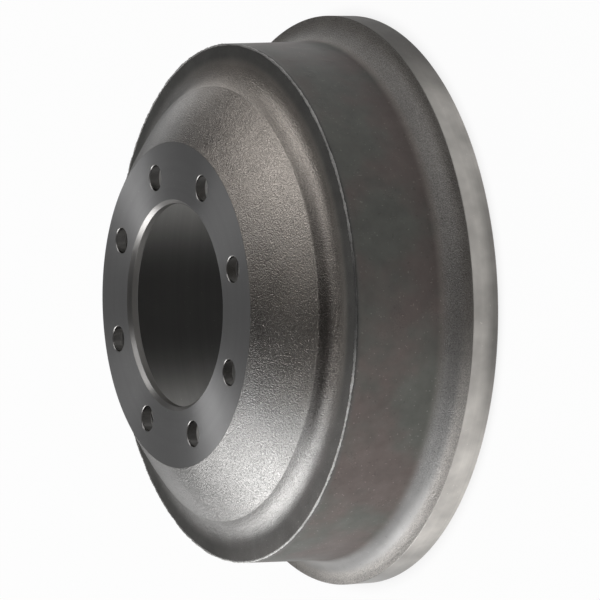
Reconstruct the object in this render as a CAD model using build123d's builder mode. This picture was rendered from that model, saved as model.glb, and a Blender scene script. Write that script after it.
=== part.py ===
"""Brake drum for an eight-stud axle: one grey-iron casting, machined where it mates.

Frame: the drum stands on its open rim. The machined rim face is the plane z = 0, the axis of
rotation is +Z, and the hub face, which the road wheel bolts against, is the top plane.
All lengths are in millimetres and all angles in degrees.
"""

import os
from math import atan2, cos, degrees, dist, radians, sin, tan

from build123d import *

drum_height = 127.0  # rim face to hub face

# Braking surface, bored inside the cast barrel
braking_diameter = 304.8
mouth_chamfer = 2.0
relief_depth = 0.8  # run-out groove at the inner end of the surface
relief_width = 2.5

# Barrel: the cast wall round the braking surface
barrel_wall = 10.3  # at the shoulder's edge
barrel_draft = 1.5  # the pattern's taper, wider towards the open rim

# Rim flange, turned round its outside
flange_height = 17.7  # how far it stands out from the barrel
flange_width = 18.0  # rim face to the front edge of the turned band
flange_face_slope = 25.0  # cast front of the flange, off square
flange_fillet = 28.0  # cast hollow between the barrel and the flange
rim_edge_chamfer = 1.2

# Shoulder: the nearly flat ring between the barrel and the dish
shoulder_width = 26.6  # barrel to the dish's lip
shoulder_depth = 38.5  # hub face to the shoulder's outer edge
shoulder_slope = 5.0
shoulder_edge_chamfer = 1.4  # where the mould's parting line is ground off
step_slope = 62.0  # the step from the lip down to the shoulder
step_fillet = 19.0
web_wall = 8.5  # shoulder's edge to the inner corner below it

# Dish: the conical wall from the lip up to the hub face
dish_depth = 27.0  # hub face to the lip
dish_wall = 8.5

# Hub: the flat plate between the road wheel and the axle's own hub
hub_face_diameter = 203.2
hub_plate_thickness = 7.0
pilot_bore_diameter = 127.0
pilot_front_chamfer = 2.3
pilot_rear_chamfer = 0.9

# Wheel studs, midway between the pilot bore and the edge of the hub face
stud_circle_diameter = (hub_face_diameter + pilot_bore_diameter) / 2
stud_count = 8
stud_hole_diameter = 16.3
stud_hole_chamfer = 0.4


def along(point, angle, distance):
    """The point at a distance from another, in a direction given by its angle from radial."""
    return (point[0] + distance * cos(radians(angle)), point[1] + distance * sin(radians(angle)))


def meeting(point_a, angle_a, point_b, angle_b):
    """Where the line through one point, at an angle, meets the line through another."""
    across, up = point_b[0] - point_a[0], point_b[1] - point_a[1]
    reach = across * sin(radians(angle_b)) - up * cos(radians(angle_b))
    return along(point_a, angle_a, reach / sin(radians(angle_b - angle_a)))


def bearing(start, end):
    """The direction from one point to another, as an angle from radial."""
    return degrees(atan2(end[1] - start[1], end[0] - start[0]))


def fillet_room(before, corner, after):
    """The largest fillet that the two faces beside a corner leave room for."""
    turn = abs(bearing(before, corner) - bearing(corner, after))
    return 0.95 * min(dist(before, corner), dist(corner, after)) / tan(radians(turn) / 2)


# Corners of the section, as (radius, height), from the hub face outwards and down to the rim
braking_radius = braking_diameter / 2
barrel_radius = braking_radius + barrel_wall
flange_radius = barrel_radius + flange_height
pilot_radius = pilot_bore_diameter / 2

hub_edge = (hub_face_diameter / 2, drum_height)
lip = (barrel_radius - shoulder_width, drum_height - dish_depth)
shoulder_edge = (barrel_radius, drum_height - shoulder_depth)
step_foot = meeting(lip, -step_slope, shoulder_edge, -shoulder_slope)
flange_edge = (flange_radius, flange_width)
barrel_foot = meeting(shoulder_edge, barrel_draft - 90, flange_edge, -flange_face_slope)

# Corners of the hollow side, from the mouth up to the rear of the hub plate
relief_radius = braking_radius + relief_depth
web_corner = (relief_radius, shoulder_edge[1] - web_wall)
relief_foot = (relief_radius, web_corner[1] - relief_width)
dish_angle = bearing(hub_edge, lip)
dish_inner = along(lip, dish_angle - 90, dish_wall)
plate_rear = drum_height - hub_plate_thickness
plate_corner = meeting(dish_inner, dish_angle, (0, plate_rear), 0)

# Each rounded corner of the casting, with the radius wanted there and its two neighbours
rounded_corners = [
    (lip, step_foot, shoulder_edge, step_fillet),
    (shoulder_edge, barrel_foot, flange_edge, flange_fillet),
]

with BuildPart() as brake_drum:
    # Half section, turned round the axis
    with BuildSketch(Plane.XZ) as section:
        with BuildLine():
            Polyline(
                hub_edge,
                lip,
                step_foot,
                shoulder_edge,
                barrel_foot,
                flange_edge,
                (flange_radius, rim_edge_chamfer),
                (flange_radius - rim_edge_chamfer, 0),
                (braking_radius + mouth_chamfer, 0),
                (braking_radius, mouth_chamfer),
                (braking_radius, relief_foot[1]),
                relief_foot,
                web_corner,
                dish_inner,
                plate_corner,
                (pilot_radius + pilot_rear_chamfer, plate_rear),
                (pilot_radius, plate_rear + pilot_rear_chamfer),
                (pilot_radius, drum_height - pilot_front_chamfer),
                (pilot_radius + pilot_front_chamfer, drum_height),
                hub_edge,
            )
        make_face()
        for before, corner, after, wanted in rounded_corners:
            radius = min(wanted, fillet_room(before, corner, after))
            fillet(section.vertices().sort_by_distance(corner)[0], radius)
        chamfer(section.vertices().sort_by_distance(shoulder_edge)[0], shoulder_edge_chamfer)
    revolve(axis=Axis.Z)

    # Stud holes through the hub plate, their edges broken on both sides
    with Locations((0, 0, drum_height)):
        with PolarLocations(stud_circle_diameter / 2, stud_count):
            Hole(stud_hole_diameter / 2, depth=hub_plate_thickness)
    hole_edges = brake_drum.edges().filter_by(
        lambda edge: edge.geom_type == GeomType.CIRCLE and abs(edge.radius - stud_hole_diameter / 2) < 1e-6
    )
    chamfer(hole_edges, stud_hole_chamfer)

brake_drum.part.label = "brake_drum"

os.makedirs("parts", exist_ok=True)
export_step(brake_drum.part, "parts/brake_drum.step")
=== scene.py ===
# %% [markdown]
# # A brake drum
# The drum is one casting of grey iron. A wheel bolts against its flat hub face, and two brake
# shoes press on the inside of its barrel. The foundry leaves a grainy or a mottled skin, and a
# lathe cleans only what has to mate: the hub face, the pilot bore, the stud holes, the rim and
# the braking surface inside. This lesson draws the section of that casting, spins it round the
# axle's axis, cuts the holes, and then gives each kind of surface its own finish.
#
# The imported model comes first, because it says where everything is.

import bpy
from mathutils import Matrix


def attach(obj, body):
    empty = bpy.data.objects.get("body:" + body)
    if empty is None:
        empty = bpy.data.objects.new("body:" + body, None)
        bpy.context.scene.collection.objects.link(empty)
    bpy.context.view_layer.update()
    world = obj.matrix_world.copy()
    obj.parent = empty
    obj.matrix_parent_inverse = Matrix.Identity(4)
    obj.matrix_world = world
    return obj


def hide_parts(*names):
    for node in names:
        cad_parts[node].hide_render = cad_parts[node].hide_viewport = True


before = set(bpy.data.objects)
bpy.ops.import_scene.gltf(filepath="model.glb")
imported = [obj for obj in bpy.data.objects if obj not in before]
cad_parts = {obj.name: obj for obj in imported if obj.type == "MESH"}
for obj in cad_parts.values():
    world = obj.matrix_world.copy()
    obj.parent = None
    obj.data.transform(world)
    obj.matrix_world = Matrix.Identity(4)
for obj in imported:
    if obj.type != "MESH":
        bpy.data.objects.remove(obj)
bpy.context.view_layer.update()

# %% [markdown]
# ## The camera
# The drum is seen from a little above its hub face and turned on its side, so that its axis lies
# across the picture. A long lens keeps the hub and the rim at nearly the same scale. The camera
# could be aimed with a Track To constraint, but that gives no say over the roll, so its three axes
# are worked out from the line of sight and the direction that is up in the picture.

# %% Camera
import math

import bpy
from mathutils import Matrix, Vector

MM = 0.001
MERGE = 0.00001  # points closer than this, in metres, are one point

sight = Vector((-0.447208, 0.755439, -0.478871)).normalized()
picture_up = Vector((0.867509, 0.496711, -0.026566))
picture_right = sight.cross(picture_up).normalized()
picture_up = picture_right.cross(sight).normalized()
camera_axes = Matrix((picture_right, picture_up, -sight)).transposed()

bpy.ops.object.camera_add(location=(1.18905, -2.00701, 1.31002), rotation=camera_axes.to_euler())
camera = bpy.context.object
camera.name = "camera"
camera.data.lens = 252
camera.data.sensor_width = 36
camera.data.clip_end = 100
bpy.context.scene.camera = camera
print("camera looks down by", round(math.degrees(math.asin(-sight.z)), 1), "degrees")

# %% [markdown]
# ## The section
# A lathe-turned shape is easiest to draw as one closed line, half of its section, and to spin.
# Cylinders joined with booleans would give the same outline but no fillets. The pen below starts
# from one vertex and extrudes it from point to point. Points are (radius, height) in millimetres
# and heights start at the rim, which the drum stands on. A rounded corner is a run of short
# extrusions round the arc that touches both of its sides.

# %% The pen
def start_section(point):
    """One vertex, in edit mode, at a point of the section."""
    bpy.ops.object.select_all(action="DESELECT")
    bpy.ops.mesh.primitive_plane_add(size=0.01)
    bpy.ops.object.mode_set(mode="EDIT")
    bpy.ops.mesh.select_mode(type="VERT")
    bpy.ops.mesh.select_all(action="SELECT")
    bpy.ops.mesh.merge(type="CENTER")
    bpy.ops.transform.translate(value=(point[0] * MM, 0, point[1] * MM))
    return bpy.context.object


def extrude_along(points):
    """Extrudes the selected vertex from the first point to each of the others in turn."""
    for here, there in zip(points, points[1:]):
        step = ((there[0] - here[0]) * MM, 0, (there[1] - here[1]) * MM)
        bpy.ops.mesh.extrude_vertices_move(TRANSFORM_OT_translate={"value": step})


def rounded(before, corner, after, radius, steps):
    """Points of the arc that rounds a corner of the section."""
    before, corner, after = Vector(before), Vector(corner), Vector(after)
    back, on = (before - corner).normalized(), (after - corner).normalized()
    half = back.angle(on) / 2
    centre = corner + (back + on).normalized() * radius / math.sin(half)
    start = corner + back * radius / math.tan(half) - centre
    sweep = (math.pi - 2 * half) * (1 if back.cross(on) < 0 else -1)
    arc = []
    for k in range(steps + 1):
        turn = Matrix.Rotation(sweep * k / steps, 2)
        arc.append(tuple(centre + turn @ start))
    return arc


# %% [markdown]
# Straight runs get a short piece at each end. Smooth shading blends over a whole face, and those
# short faces keep the blend next to the corner, so that the long faces stay flat to the eye.

# %% Corners of the casting
corners = [  # radius, height, rounding, steps of the rounding
    (101.6, 127.0, 0.5, 3),  # edge of the hub face
    (136.1, 100.0, 0.6, 4),  # lip of the dish
    (141.22, 90.38, 19.0, 20),  # hollow at the foot of the step
    (162.7, 88.5, 2.2, 8),  # outer edge of the shoulder
    (164.35, 21.2, 17.0, 24),  # hollow between the barrel and the flange
    (180.4, 18.0, 0.35, 3),  # front edge of the turned band
    (180.4, 1.2, 0.15, 2),
    (179.2, 0.0, 0.15, 2),
    (154.4, 0.0, 0.2, 2),
    (152.4, 2.0, 0.2, 2),
    (152.4, 77.5, 0.1, 1),  # inner end of the braking surface
    (153.2, 77.5, 0.1, 1),
    (153.2, 80.0, 0.4, 3),
    (130.86, 93.31, 5.0, 5),
    (96.76, 120.0, 10.0, 8),  # inner side of the web meets the hub plate
    (64.4, 120.0, 0.1, 1),
    (63.5, 120.9, 0.1, 1),
    (63.5, 124.7, 0.15, 2),
    (65.8, 127.0, 0.15, 2),
]

outline = []
for k, (radius, height, rounding, steps) in enumerate(corners):
    before, after = corners[k - 1][:2], corners[(k + 1) % len(corners)][:2]
    outline.append(rounded(before, (radius, height), after, rounding, steps))
print("rounded corners:", len(outline))

# %% Straight runs between the corners
def straight(start, end, longest=14.0, margin=0.6):
    """Points of a straight run, with a short piece at each end."""
    start, end = Vector(start), Vector(end)
    length = (end - start).length
    if length < 3 * margin:
        return []
    pieces = max(1, math.ceil(length / longest))
    inside = [start + (end - start) * k / pieces for k in range(1, pieces)]
    along = (end - start) / length * margin
    return [tuple(p) for p in [start + along, *inside, end - along]]


def swollen(points, start, end, height):
    """The same points pushed outwards, by most at mid length, as the dish's cone swells."""
    start, end = Vector(start), Vector(end)
    side = Vector((start.y - end.y, end.x - start.x)).normalized()
    bent = []
    for point in points:
        t = (Vector(point) - start).dot(end - start) / (end - start).length_squared
        bent.append(tuple(Vector(point) + side * 4 * height * t * (1 - t)))
    return bent


path = []
for k, arc in enumerate(outline):
    start, end = arc[-1], outline[(k + 1) % len(outline)][0]
    run = straight(start, end, longest=6.0 if k == 0 else 14.0)
    path += arc + (swollen(run, start, end, 0.6) if k == 0 else run)
print("points in the section:", len(path))

# %% [markdown]
# ## Spinning the casting
# Spin sweeps the section right round the axis and merges its two ends. Which way the faces point
# then depends on the way the section was drawn, so the normals are recalculated once the doubles
# are merged. 360 steps make the round edges true to a few hundredths of a millimetre.

# %% Spin
AROUND = 360

drum = start_section(path[0])
drum.name = "drum_casting"
extrude_along(path + path[:1])
bpy.ops.mesh.select_all(action="SELECT")
bpy.ops.mesh.remove_doubles(threshold=MERGE)
bpy.ops.mesh.spin(steps=AROUND, angle=2 * math.pi, center=(0, 0, 0), axis=(0, 0, 1))
bpy.ops.mesh.select_all(action="SELECT")
bpy.ops.mesh.remove_doubles(threshold=MERGE)
bpy.ops.mesh.normals_make_consistent(inside=False)
bpy.ops.object.mode_set(mode="OBJECT")
print("casting:", len(drum.data.vertices), "vertices", len(drum.data.polygons), "faces")

# %% [markdown]
# ## Stud holes
# Eight holes are drilled through the hub plate and their edges are just broken. Each cutter is a
# cylinder whose ends flare out at 45 degrees, so the boolean cuts the hole and its two chamfers
# at once. One cutter is shaped, copied round the circle and joined, so there is a single cut.

# %% Cutters
STUD_CIRCLE = 82.55
STUD_RADIUS = 8.15
STUD_CHAMFER = 0.4
PLATE = (120.0, 127.0)


def select_faces(piece, chosen):
    """Selects a piece's faces in edit mode, by their centre and normal."""
    bpy.ops.object.select_all(action="DESELECT")
    bpy.context.view_layer.objects.active = piece
    piece.select_set(True)
    bpy.ops.object.mode_set(mode="EDIT")
    bpy.ops.mesh.select_mode(type="FACE")
    bpy.ops.mesh.select_all(action="DESELECT")
    bpy.ops.object.mode_set(mode="OBJECT")
    for face in piece.data.polygons:
        face.select = bool(chosen(face.center / MM, face.normal))
    bpy.ops.object.mode_set(mode="EDIT")


straight_low, straight_high = PLATE[0] + STUD_CHAMFER, PLATE[1] - STUD_CHAMFER
bpy.ops.object.select_all(action="DESELECT")
bpy.ops.mesh.primitive_cylinder_add(
    vertices=64,
    radius=STUD_RADIUS * MM,
    depth=(straight_high - straight_low) * MM,
    location=(STUD_CIRCLE * MM, 0, (straight_low + straight_high) / 2 * MM),
)
cutter = bpy.context.object
bpy.ops.object.transform_apply(location=True, rotation=True, scale=True)
flare = 1.2
for end in (1, -1):
    select_faces(cutter, lambda centre, normal: normal.z * end > 0.9)
    bpy.ops.mesh.extrude_region_move(TRANSFORM_OT_translate={"value": (0, 0, end * flare * MM)})
    grow = (STUD_RADIUS + flare) / STUD_RADIUS
    bpy.ops.transform.resize(value=(grow, grow, 1), center_override=(STUD_CIRCLE * MM, 0, 0))
    bpy.ops.object.mode_set(mode="OBJECT")

# %% Copy the cutter round and cut
cutters = [cutter]
for k in range(1, 8):
    copy = cutter.copy()
    copy.data = cutter.data.copy()
    copy.data.transform(Matrix.Rotation(k * math.pi / 4, 4, "Z"))
    bpy.context.collection.objects.link(copy)
    cutters.append(copy)

bpy.ops.object.select_all(action="DESELECT")
for one in cutters:
    one.select_set(True)
bpy.context.view_layer.objects.active = cutter
bpy.ops.object.join()

holes = drum.modifiers.new("stud holes", "BOOLEAN")
holes.operation = "DIFFERENCE"
holes.object = cutter
holes.solver = "EXACT"
bpy.ops.object.select_all(action="DESELECT")
bpy.context.view_layer.objects.active = drum
drum.select_set(True)
bpy.ops.object.modifier_apply(modifier=holes.name)
bpy.data.objects.remove(cutter)

# The boolean leaves pairs of points that nearly coincide, which are merged.
bpy.ops.object.mode_set(mode="EDIT")
bpy.ops.mesh.select_all(action="SELECT")
bpy.ops.mesh.remove_doubles(threshold=MERGE / 2)
bpy.ops.mesh.dissolve_degenerate(threshold=MERGE / 2)
bpy.ops.object.mode_set(mode="OBJECT")
bpy.ops.object.shade_smooth_by_angle(angle=math.radians(28))
print("after the holes:", len(drum.data.polygons), "faces")

# %% [markdown]
# ## Parting flash
# The sand mould has two halves, and they meet round the outer edge of the shoulder. Iron creeps
# into the joint and leaves a thin fin, which is broken and ground off by hand. What stays is a
# ragged bright line. A bump map could paint it, but it is proud enough to catch the light from
# any side, so it is a thin ring sunk in the edge and roughened with two sizes of cloud noise.

# %% Flash ring
def roughen(piece, size, strength, depth=2):
    """Pushes a piece's surface in and out by a cloud pattern of a size, in millimetres."""
    clouds = bpy.data.textures.new("clouds %g" % size, "CLOUDS")
    clouds.noise_scale = size * MM
    clouds.noise_depth = depth
    push = piece.modifiers.new("roughen", "DISPLACE")
    push.texture = clouds
    push.texture_coords = "LOCAL"
    push.strength = strength * MM
    push.mid_level = 0.5
    bpy.ops.object.modifier_apply(modifier=push.name)


FLASH_CENTRE = (162.1, 88.15)  # just inside the shoulder's outer edge
FLASH_RADIUS = 0.65
FLASH_SIDES = 10
FLASH_AROUND = 1200

flash_edge = []
for k in range(FLASH_SIDES):
    turn = k * 2 * math.pi / FLASH_SIDES
    flash_edge.append(
        (
            FLASH_CENTRE[0] + FLASH_RADIUS * math.cos(turn),
            FLASH_CENTRE[1] + FLASH_RADIUS * math.sin(turn),
        )
    )
flash = start_section(flash_edge[0])
flash.name = "parting_flash"
extrude_along(flash_edge + flash_edge[:1])
bpy.ops.mesh.select_all(action="SELECT")
bpy.ops.mesh.remove_doubles(threshold=MERGE)
bpy.ops.mesh.spin(steps=FLASH_AROUND, angle=2 * math.pi, center=(0, 0, 0), axis=(0, 0, 1))
bpy.ops.mesh.select_all(action="SELECT")
bpy.ops.mesh.remove_doubles(threshold=MERGE)
bpy.ops.mesh.normals_make_consistent(inside=False)
bpy.ops.object.mode_set(mode="OBJECT")
roughen(flash, 8.0, 0.8)
roughen(flash, 1.2, 0.9, depth=1)
bpy.ops.object.shade_smooth()
print("flash ring:", len(flash.data.polygons), "faces")

# %% [markdown]
# ## Shader maths
# Each finish below mixes a few noises by where a point lies on the drum. Written as nodes, a sum
# such as `a * 0.6 + b` takes two boxes and three links. A small class lets Python's own operators
# add those nodes, and one method adds any other kind.

# %% Wires and finishes
class Wire:
    """One output of a shader node, which arithmetic can be done on."""

    def __init__(self, finish, socket):
        self.finish, self.socket = finish, socket

    def __add__(self, other):
        return self.finish.maths("ADD", self, other)

    def __sub__(self, other):
        return self.finish.maths("SUBTRACT", self, other)

    def __rsub__(self, other):
        return self.finish.maths("SUBTRACT", other, self)

    def __mul__(self, other):
        return self.finish.maths("MULTIPLY", self, other)

    def __pow__(self, other):
        return self.finish.maths("POWER", self, other)

    __radd__ = __add__
    __rmul__ = __mul__


class Finish:
    """A material being made for one kind of surface."""

    def __init__(self, name):
        self.material = bpy.data.materials.new(name)
        self.material.use_nodes = True
        self.tree = self.material.node_tree
        self.tree.nodes.clear()
        self.place = self.node("ShaderNodeTexCoord", output="Object")
        across = self.node("ShaderNodeSeparateXYZ", inputs={0: self.place}, output="X")
        self.x = across
        self.y = Wire(self, across.socket.node.outputs["Y"])
        self.height = Wire(self, across.socket.node.outputs["Z"])
        self.radius = (self.x * self.x + self.y * self.y) ** 0.5

    def node(self, kind, settings=None, inputs=None, output=0):
        """Adds any node: its settings first, then the values or wires of its sockets."""
        made = self.tree.nodes.new(kind)
        for name, value in (settings or {}).items():
            setattr(made, name, value)
        for name, value in (inputs or {}).items():
            if isinstance(value, Wire):
                self.tree.links.new(value.socket, made.inputs[name])
            else:
                made.inputs[name].default_value = value
        return Wire(self, made.outputs[output])

    def maths(self, operation, first, second):
        """Adds one Math node."""
        return self.node("ShaderNodeMath", {"operation": operation}, {0: first, 1: second})

    def ease(self, value, low, high, first=0.0, last=1.0):
        """Goes smoothly from first to last as a value goes from low to high."""
        settings = {"interpolation_type": "SMOOTHSTEP", "clamp": True}
        values = {0: value, 1: low, 2: high, 3: first, 4: last}
        return self.node("ShaderNodeMapRange", settings, values)

    def noise(self, size, detail=2.0, roughness=0.5, shift=0.0):
        """Noise with patches about this size, in millimetres."""
        moved = {"Vector": self.place, "Location": (shift,) * 3}
        where = self.node("ShaderNodeMapping", {}, moved)
        values = {"Vector": where, "Scale": 1000.0 / size, "Detail": detail, "Roughness": roughness}
        return self.node("ShaderNodeTexNoise", {}, values)

    def towards(self, azimuth):
        """How far a point lies from the axis in one direction, in metres."""
        turn = math.radians(azimuth)
        return self.x * math.cos(turn) + self.y * math.sin(turn)

    def rings(self, size, detail=2.0):
        """Noise that changes only with radius and height, as tool marks do."""
        along = self.radius + self.height
        settings = {"noise_dimensions": "1D"}
        values = {"W": along, "Scale": 1000.0 / size, "Detail": detail}
        return self.node("ShaderNodeTexNoise", settings, values)

    def mix(self, factor, first, second):
        """One colour over another."""
        first, second = ((*c, 1) if isinstance(c, tuple) else c for c in (first, second))
        settings = {"data_type": "RGBA", "clamp_factor": True}
        return self.node("ShaderNodeMix", settings, {0: factor, 6: first, 7: second}, output=2)

    def shade(self, colour, factor):
        """A colour made lighter or darker by a number."""
        scaled = self.node(
            "ShaderNodeVectorMath", {"operation": "SCALE"}, {0: colour, "Scale": factor}
        )
        return scaled

    def bump(self, height, strength, distance):
        """A normal tilted by a height pattern whose full depth is given in millimetres."""
        values = {"Height": height, "Strength": strength, "Distance": distance * MM}
        return self.node("ShaderNodeBump", {}, values)

    def surface(self, **values):
        """The Principled shader, with its sockets named as words joined by underscores."""
        shown = {name.replace("_", " ").title(): value for name, value in values.items()}
        shown = {name.replace("Ior", "IOR"): value for name, value in shown.items()}
        shader = self.node("ShaderNodeBsdfPrincipled", {}, shown, output="BSDF")
        self.node_output(shader)
        return self.material

    def node_output(self, shader):
        out = self.tree.nodes.new("ShaderNodeOutputMaterial")
        self.tree.links.new(shader.socket, out.inputs["Surface"])


# %% [markdown]
# ## The cast skin
# The dish, the step and the hollow beside the flange keep the grain of the sand, pebbles of about
# a millimetre. The flat of the shoulder and the barrel lay against a finer facing and came out
# nearly smooth, brown and green in soft patches. One material covers them all, because they
# run into each other with no edge: the grain's depth and the colour follow the place.
#
# Nor is the skin alike all round. `towards` measures how far a point lies in one direction, and
# easing that gives a patch on one side of the drum. The side the lamps light is painted paler, as
# painted light, and its hollow is smoother beside that. The far side of the dish is duller and
# painted darker as painted shade, painted shade lies under the lip, and the barrel has painted
# light on one side and painted shade on another.

# %% Cast skin
SHOULDER_RISE = (84.0, 88.0)  # heights over which the barrel's skin gives way to the shoulder's
DISH_END = (145.0, 156.0)  # radii over which the dish's grain dies out
HOLLOW_TOP = (26.0, 34.0)  # heights over which the hollow's grain dies out
FLANGE_FACE = (170.0, 175.0)  # radii over which the hollow turns into the face of the flange

# The warm shot is a warmer tint that is also a little lighter, as painted light where the dish's
# highlight falls.
COOL_SHOT, WARM_LIT_SHOT = (0.395, 0.388, 0.380), (0.455, 0.413, 0.376)
BROWN, GREEN = (0.152, 0.126, 0.117), (0.132, 0.134, 0.121)
# Each second colour below is the same skin painted paler: painted light on the side the lamps
# light.
SHOULDER, PAINTED_LIT_SHOULDER = (0.120, 0.118, 0.112), (0.26, 0.25, 0.24)
FILLET, PAINTED_LIT_FILLET = (0.33, 0.315, 0.30), (0.47, 0.465, 0.46)
FACE, PAINTED_LIT_FACE = (0.33, 0.31, 0.29), (0.72, 0.69, 0.66)


def cast_skin():
    skin = Finish("cast_skin")
    z, r = skin.height * (1 / MM), skin.radius * (1 / MM)

    # Where a point lies in the section
    top = skin.ease(z, *SHOULDER_RISE)
    dish = top * skin.ease(r, *DISH_END, 1.0, 0.0)
    shoulder = top * skin.ease(r, *DISH_END)
    hollow = skin.ease(z, *HOLLOW_TOP, 1.0, 0.0)
    flange = skin.ease(r, *FLANGE_FACE)
    coarse = skin.maths("MAXIMUM", dish, hollow)

    # Where it lies round the axis
    # Painted light: where the lamps light the drum, the shoulder, fillet and flange face are
    # painted paler.
    painted_lit_side = skin.ease(skin.towards(-115), 0.10, 0.16)
    wash = skin.ease(skin.towards(-135), 0.125, 0.15) * (1 - flange) * hollow
    # Painted shade on the far side of the dish, which is also made less metallic and rougher.
    dull_and_painted_shade = skin.ease(skin.towards(120), 0.01, 0.08)
    under_lip = skin.ease(r, 136.0, 136.8) * skin.ease(r, 138.5, 143.5, 1.0, 0.0)
    # Painted shade in the hollow under the lip, on one side of the drum.
    painted_shade_under_lip = skin.ease(skin.towards(-60), 0.098, 0.130) * under_lip
    # Painted light on the barrel on one side, and painted shade on another.
    painted_light_and_shade = skin.ease(skin.towards(-97), 0.120, 0.163) * 0.75
    painted_light_and_shade = painted_light_and_shade - skin.ease(skin.towards(25), 0.11, 0.16) * 0.3

    # Grain
    patches = skin.ease(skin.noise(16.0, 2.0, shift=3.1), 0.62, 0.72) * 0.5
    smoother = skin.maths("MAXIMUM", patches, shoulder * 0.3)
    grainy = skin.maths("MAXIMUM", coarse - wash * 0.9, smoother)
    pebbles = skin.noise(0.82, 1.0, 0.5)
    fine = skin.noise(0.48, 1.0, shift=2.2)
    grain = (pebbles * 0.75 + fine * 0.25) * (grainy * 0.93 + 0.07)

    # Colour
    cloud = skin.noise(38.0, 3.0, 0.55, shift=1.7)
    tint = skin.noise(50.0, 3.0, 0.6, shift=7.3)
    blotch = skin.noise(13.0, 3.0, 0.6, shift=9.1)
    speck = skin.ease(skin.noise(2.4, 1.0, shift=5.0), 0.70, 0.76)
    crumb = skin.ease(skin.noise(1.3, 0.0, shift=6.0) + blotch * 0.15, 0.84, 0.90)
    # A warm tint on one side of the dish, partly painted light there.
    warm_lit_side = skin.ease(skin.towards(-20) + tint * 0.06, 0.06, 0.14)
    shot = skin.mix(warm_lit_side, COOL_SHOT, WARM_LIT_SHOT)
    barrel = skin.shade(skin.mix(skin.ease(tint, 0.38, 0.62), BROWN, GREEN), painted_light_and_shade + 1)
    flat = skin.mix(shoulder, barrel, skin.mix(painted_lit_side, SHOULDER, PAINTED_LIT_SHOULDER))
    fillet = skin.mix(painted_lit_side, FILLET, PAINTED_LIT_FILLET)
    face = skin.mix(painted_lit_side, FACE, PAINTED_LIT_FACE)
    colour = skin.mix(coarse, flat, skin.mix(hollow, shot, skin.mix(flange, fillet, face)))

    # Light and dark within a colour
    light = 0.70 + cloud * 0.34 + blotch * 0.26 + (fine + pebbles - 1) * grainy
    light = light - speck * 0.15 + crumb * (0.6 - coarse * 0.4)
    light = light + (blotch - 0.5) * (1 - coarse) * 0.35
    # Painted shade on the dish by the hub, painted light towards its lip, and the painted shade
    # under the lip.
    light = light * (1 - dish * skin.ease(r, 100.0, 137.0, 0.18, -0.14)) * (1 - painted_shade_under_lip * top * 0.60)
    # Painted shade on the far side of the dish.
    light = light * (1 - dish * dull_and_painted_shade * 0.35)
    return skin.surface(
        base_color=skin.shade(colour, light),
        metallic=dish * (0.70 - dull_and_painted_shade * 0.7) + hollow * 0.35 + 0.22,
        roughness=skin.ease(cloud, 0.3, 0.7, 0.46, 0.52) - dish * (0.180 - dull_and_painted_shade * 0.4),
        specular_ior_level=0.30,
        normal=skin.bump(grain, 1.0, 0.46),
    )


# %% [markdown]
# ## Machined finishes
# A lathe leaves fine rings. They are far too fine to model, but they stretch a highlight across
# the grooves, which the shader's anisotropy gives, and their slight unevenness shows as faint
# bands in the roughness. The hub face, the bores and the turned band differ in colour, so they
# share one recipe with other numbers. The anisotropy runs round the drum's axis, which is right
# for what a lathe cut. The stud holes were drilled about axes of their own, so they have none.
#
# Two of these surfaces carry painted light and shade. A function says how much lighter or darker
# the metal is painted at a point, and how much rougher it is.

# %% Machined finishes
def machined(name, colour, metallic, roughness, stains, anisotropic=0.0, painted_light_shade=None):
    metal = Finish(name)
    painted_lightness, matt = painted_light_shade(metal) if painted_light_shade else (1.0, 0.0)
    band = metal.rings(1.1)
    wide = metal.rings(7.0, 1.0)
    cloud = metal.noise(26.0, 3.0, 0.55, shift=4.4)
    nick = metal.ease(metal.noise(2.2, 2.0, 0.6, shift=8.0), 0.71, 0.75)
    light = 1.0 + (cloud - 0.5) * stains + (band - 0.5) * 0.10 + (wide - 0.5) * 0.12 + nick * 0.35
    paler = tuple(c * 1.03 for c in colour)
    return metal.surface(
        base_color=metal.shade(metal.mix(cloud, paler, colour), light * painted_lightness),
        metallic=metallic,
        roughness=(band - 0.5) * 0.08 + (cloud - 0.5) * 0.10 + roughness + matt,
        anisotropic=anisotropic,
        anisotropic_rotation=0.25,
        normal=metal.bump(band * 0.7 + nick * 0.3, 0.25, 0.03),
    )


def rim_painted_light_shade(metal):
    """Painted light and shade on the turned band: painted shade on one side, where it is also
    rougher, painted shade low down near the floor on another, a painted highlight on a third and
    painted shade on a fourth.
    """
    band_rough_painted_shade = metal.ease(metal.towards(30), 0.10, 0.16)
    band_painted_highlight = metal.ease(metal.towards(-100), 0.163, 0.180)
    band_painted_shade_low = metal.ease(metal.height, 0.002, 0.011, 1.0, 0.0)
    band_painted_shade_low = band_painted_shade_low * metal.ease(metal.towards(-60), 0.158, 0.178)
    band_painted_shade_side = metal.ease(metal.towards(-148), 0.160, 0.176)
    return 1.6 - band_rough_painted_shade * 1.1 + band_painted_highlight * 0.7 - band_painted_shade_low * 0.8 - band_painted_shade_side * 0.7, band_rough_painted_shade * 0.3


def bore_painted_light_shade(metal):
    """Painted light over the braking surface, and painted shade on one side."""
    return 1.5 - metal.ease(metal.towards(121), 0.134, 0.152) * 1.3, 0.0


# %% Assign the finishes by place
def around(centre):
    return math.hypot(centre.x, centre.y)


def in_hole(centre):
    spot = math.degrees(math.atan2(centre.y, centre.x)) / 45
    turn = math.radians((spot - round(spot)) * 45)
    out = around(centre) * math.cos(turn) - STUD_CIRCLE
    aside = around(centre) * math.sin(turn)
    return math.hypot(out, aside) < STUD_RADIUS + STUD_CHAMFER + 0.1 and centre.z > PLATE[0] - 1


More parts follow.
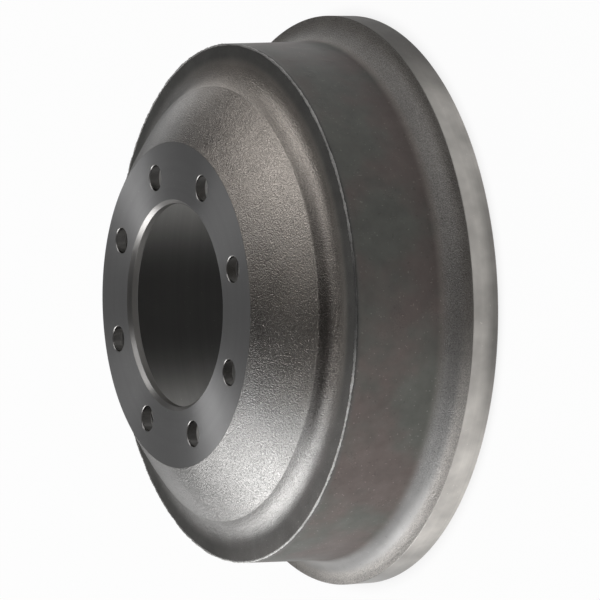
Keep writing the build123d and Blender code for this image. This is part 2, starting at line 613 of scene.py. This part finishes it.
finishes = [
    (cast_skin(), lambda c, n: True),
    (
        machined("turned_hub_face", (0.345, 0.343, 0.345), 0.9, 0.49, 0.25, 0.85),
        lambda c, n: c.z > PLATE[0] - 0.1 and abs(n.z) > 0.95 and around(c) < 101.55,
    ),
    (
        machined("bored_iron", (0.40, 0.39, 0.38), 0.85, 0.36, 0.12, 0.5),
        lambda c, n: c.z > PLATE[0] - 0.1 and abs(n.z) < 0.95 and (around(c) < 66.0 or in_hole(c)),
    ),
    (
        machined("drilled_iron", (0.26, 0.255, 0.25), 1.0, 0.24, 0.12),
        lambda c, n: c.z > PLATE[0] - 0.1 and abs(n.z) < 0.3 and in_hole(c),
    ),
    (
        machined("turned_band", (0.34, 0.325, 0.305), 0.45, 0.38, 1.2, 0.3, rim_painted_light_shade),
        lambda c, n: around(c) > 178.9 and c.z < 18.05 or c.z < 0.2,
    ),
    (
        machined("braking_surface", (0.58, 0.575, 0.56), 0.7, 0.40, 0.25, 0.5, bore_painted_light_shade),
        lambda c, n: around(c) < 153.3 and 0.2 <= c.z < 79.9 and n.z < 0.5,
    ),
]
for finish, _ in finishes:
    drum.data.materials.append(finish)
for index, (_, chosen) in enumerate(finishes):
    select_faces(drum, chosen)
    drum.active_material_index = index
    bpy.ops.object.material_slot_assign()
    bpy.ops.object.mode_set(mode="OBJECT")
print("finishes on the casting:", [m.name for m in drum.data.materials])

# %% [markdown]
# The flash is broken iron. It was never against the sand and it is too rough to be shiny, so it is
# pale metal, with dark pits between bright crumbs. On one side it is painted much paler, the palest
# metal on the part, as painted light, and on another it is painted darker, as painted shade.

# %% Broken iron
def broken_iron():
    iron = Finish("broken_iron")
    crumbs = iron.noise(0.8, 2.0, 0.6)
    wear = iron.ease(iron.noise(7.0, 2.0, 0.6, shift=2.0), 0.35, 0.65)
    # Painted light on one side of the flash and painted shade on another.
    flash_painted_light = iron.ease(iron.towards(-120), 0.06, 0.145)
    flash_painted_shade = 1 - iron.ease(iron.towards(-60), 0.155, 0.1625) * 0.75
    light = (0.45 + crumbs * 0.9 + wear * 0.35) * flash_painted_shade
    return iron.surface(
        base_color=iron.shade(iron.mix(flash_painted_light, (0.42, 0.41, 0.40), (0.86, 0.85, 0.83)), light),
        metallic=0.35,
        roughness=iron.ease(crumbs, 0.3, 0.7, 0.34, 0.6),
        normal=iron.bump(crumbs, 0.8, 0.3),
    )


flash.data.materials.append(broken_iron())

# %% [markdown]
# ## Floor, cove and lamps
# The drum stands on its rim on a plain white floor, inside a low round wall far away. To the
# camera, and in the metal, the floor glows white, while the light it spreads on the drum stays
# its own, so that the lamps shape it. Far out and up the wall the glow fades to grey, which keeps
# a dark side on the metal. Under the drum little light gets in, so the glow is weak there, and a
# part of the floor's own shading stays in the mix and keeps the drum's soft shadow. Above the
# wall the world is a dim grey room. White all over would wash out the metal.

# %% Floor and cove
bpy.ops.object.select_all(action="DESELECT")
bpy.ops.mesh.primitive_circle_add(vertices=96, radius=14, fill_type="NGON")
floor = bpy.context.object
floor.name = "floor"
bpy.ops.object.mode_set(mode="EDIT")
bpy.ops.mesh.select_mode(type="EDGE")
bpy.ops.mesh.select_all(action="SELECT")
bpy.ops.mesh.extrude_edges_move(TRANSFORM_OT_translate={"value": (0, 0, 3.2)})
bpy.ops.mesh.select_all(action="DESELECT")
bpy.ops.object.mode_set(mode="OBJECT")

paper = Finish("white_floor")
rays = paper.node("ShaderNodeLightPath", output="Is Camera Ray")
mirrored = Wire(paper, rays.socket.node.outputs["Is Glossy Ray"])
passed = Wire(paper, rays.socket.node.outputs["Is Transmission Ray"])
seen = paper.maths("MINIMUM", rays + mirrored + passed, 1.0)
open_floor = paper.ease(paper.radius, 0.15, 0.19, 0.18, 1.0)
far_out = paper.ease(paper.radius, 0.9, 3.0, 1.0, 0.4)
high_up = paper.ease(paper.height, 0.0, 3.0, 1.0, 0.4)
lit = seen * open_floor * (far_out * high_up) * 0.97
plain = paper.node("ShaderNodeBsdfDiffuse", {}, {"Color": (0.8, 0.8, 0.8, 1)}, output="BSDF")
glow = paper.node("ShaderNodeEmission", {}, {"Color": (1, 1, 1, 1), "Strength": 1.0})
mixed = paper.node("ShaderNodeMixShader", {}, {0: lit, 1: plain, 2: glow})
paper.node_output(mixed)
floor.data.materials.append(paper.material)

# %% World
world = bpy.data.worlds.new("room")
bpy.context.scene.world = world
world.use_nodes = True
world.node_tree.nodes["Background"].inputs["Color"].default_value = (0.04, 0.04, 0.04, 1)

# %% Lamps
LAMPS = [  # name, azimuth and elevation in degrees, distance and size in metres, watts
    ("key", -178.0, 36.0, 1.8, 1.0, 11.8),
    ("key_low", -166.0, 22.0, 1.8, 0.5, 1.8),
    ("low_front", -122.0, 12.0, 1.6, 0.6, 2.6),
    ("second", 42.0, 42.0, 1.8, 0.7, 3.2),
    ("second_high", 12.0, 56.0, 1.8, 0.6, 1.8),
    ("side", -10.0, 34.0, 1.8, 0.6, 2.0),
    ("rim", 122.0, 38.0, 1.8, 0.6, 0.9),
]


def softbox(name, azimuth, elevation, distance, size, watts):
    """A square lamp aimed at the middle of the drum."""
    across, up = math.radians(azimuth), math.radians(elevation)
    way = Vector((math.cos(across) * math.cos(up), math.sin(across) * math.cos(up), math.sin(up)))
    where = Vector((0, 0, 0.07)) + way * distance
    aim = way.to_track_quat("Z", "Y").to_euler()
    bpy.ops.object.light_add(type="AREA", location=where, rotation=aim)
    lamp = bpy.context.object
    lamp.name = name
    lamp.data.size = size
    lamp.data.energy = watts
    return lamp


for lamp in LAMPS:
    softbox(*lamp)
bpy.context.scene.view_settings.view_transform = "Standard"

# %% [markdown]
# ## Riding on the body
# The spun casting stands for the plain CAD solid, and the flash rides on the same body.

# %% Ride, replace and finish
for piece in (drum, flash):
    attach(piece, "root")
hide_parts("brake_drum")
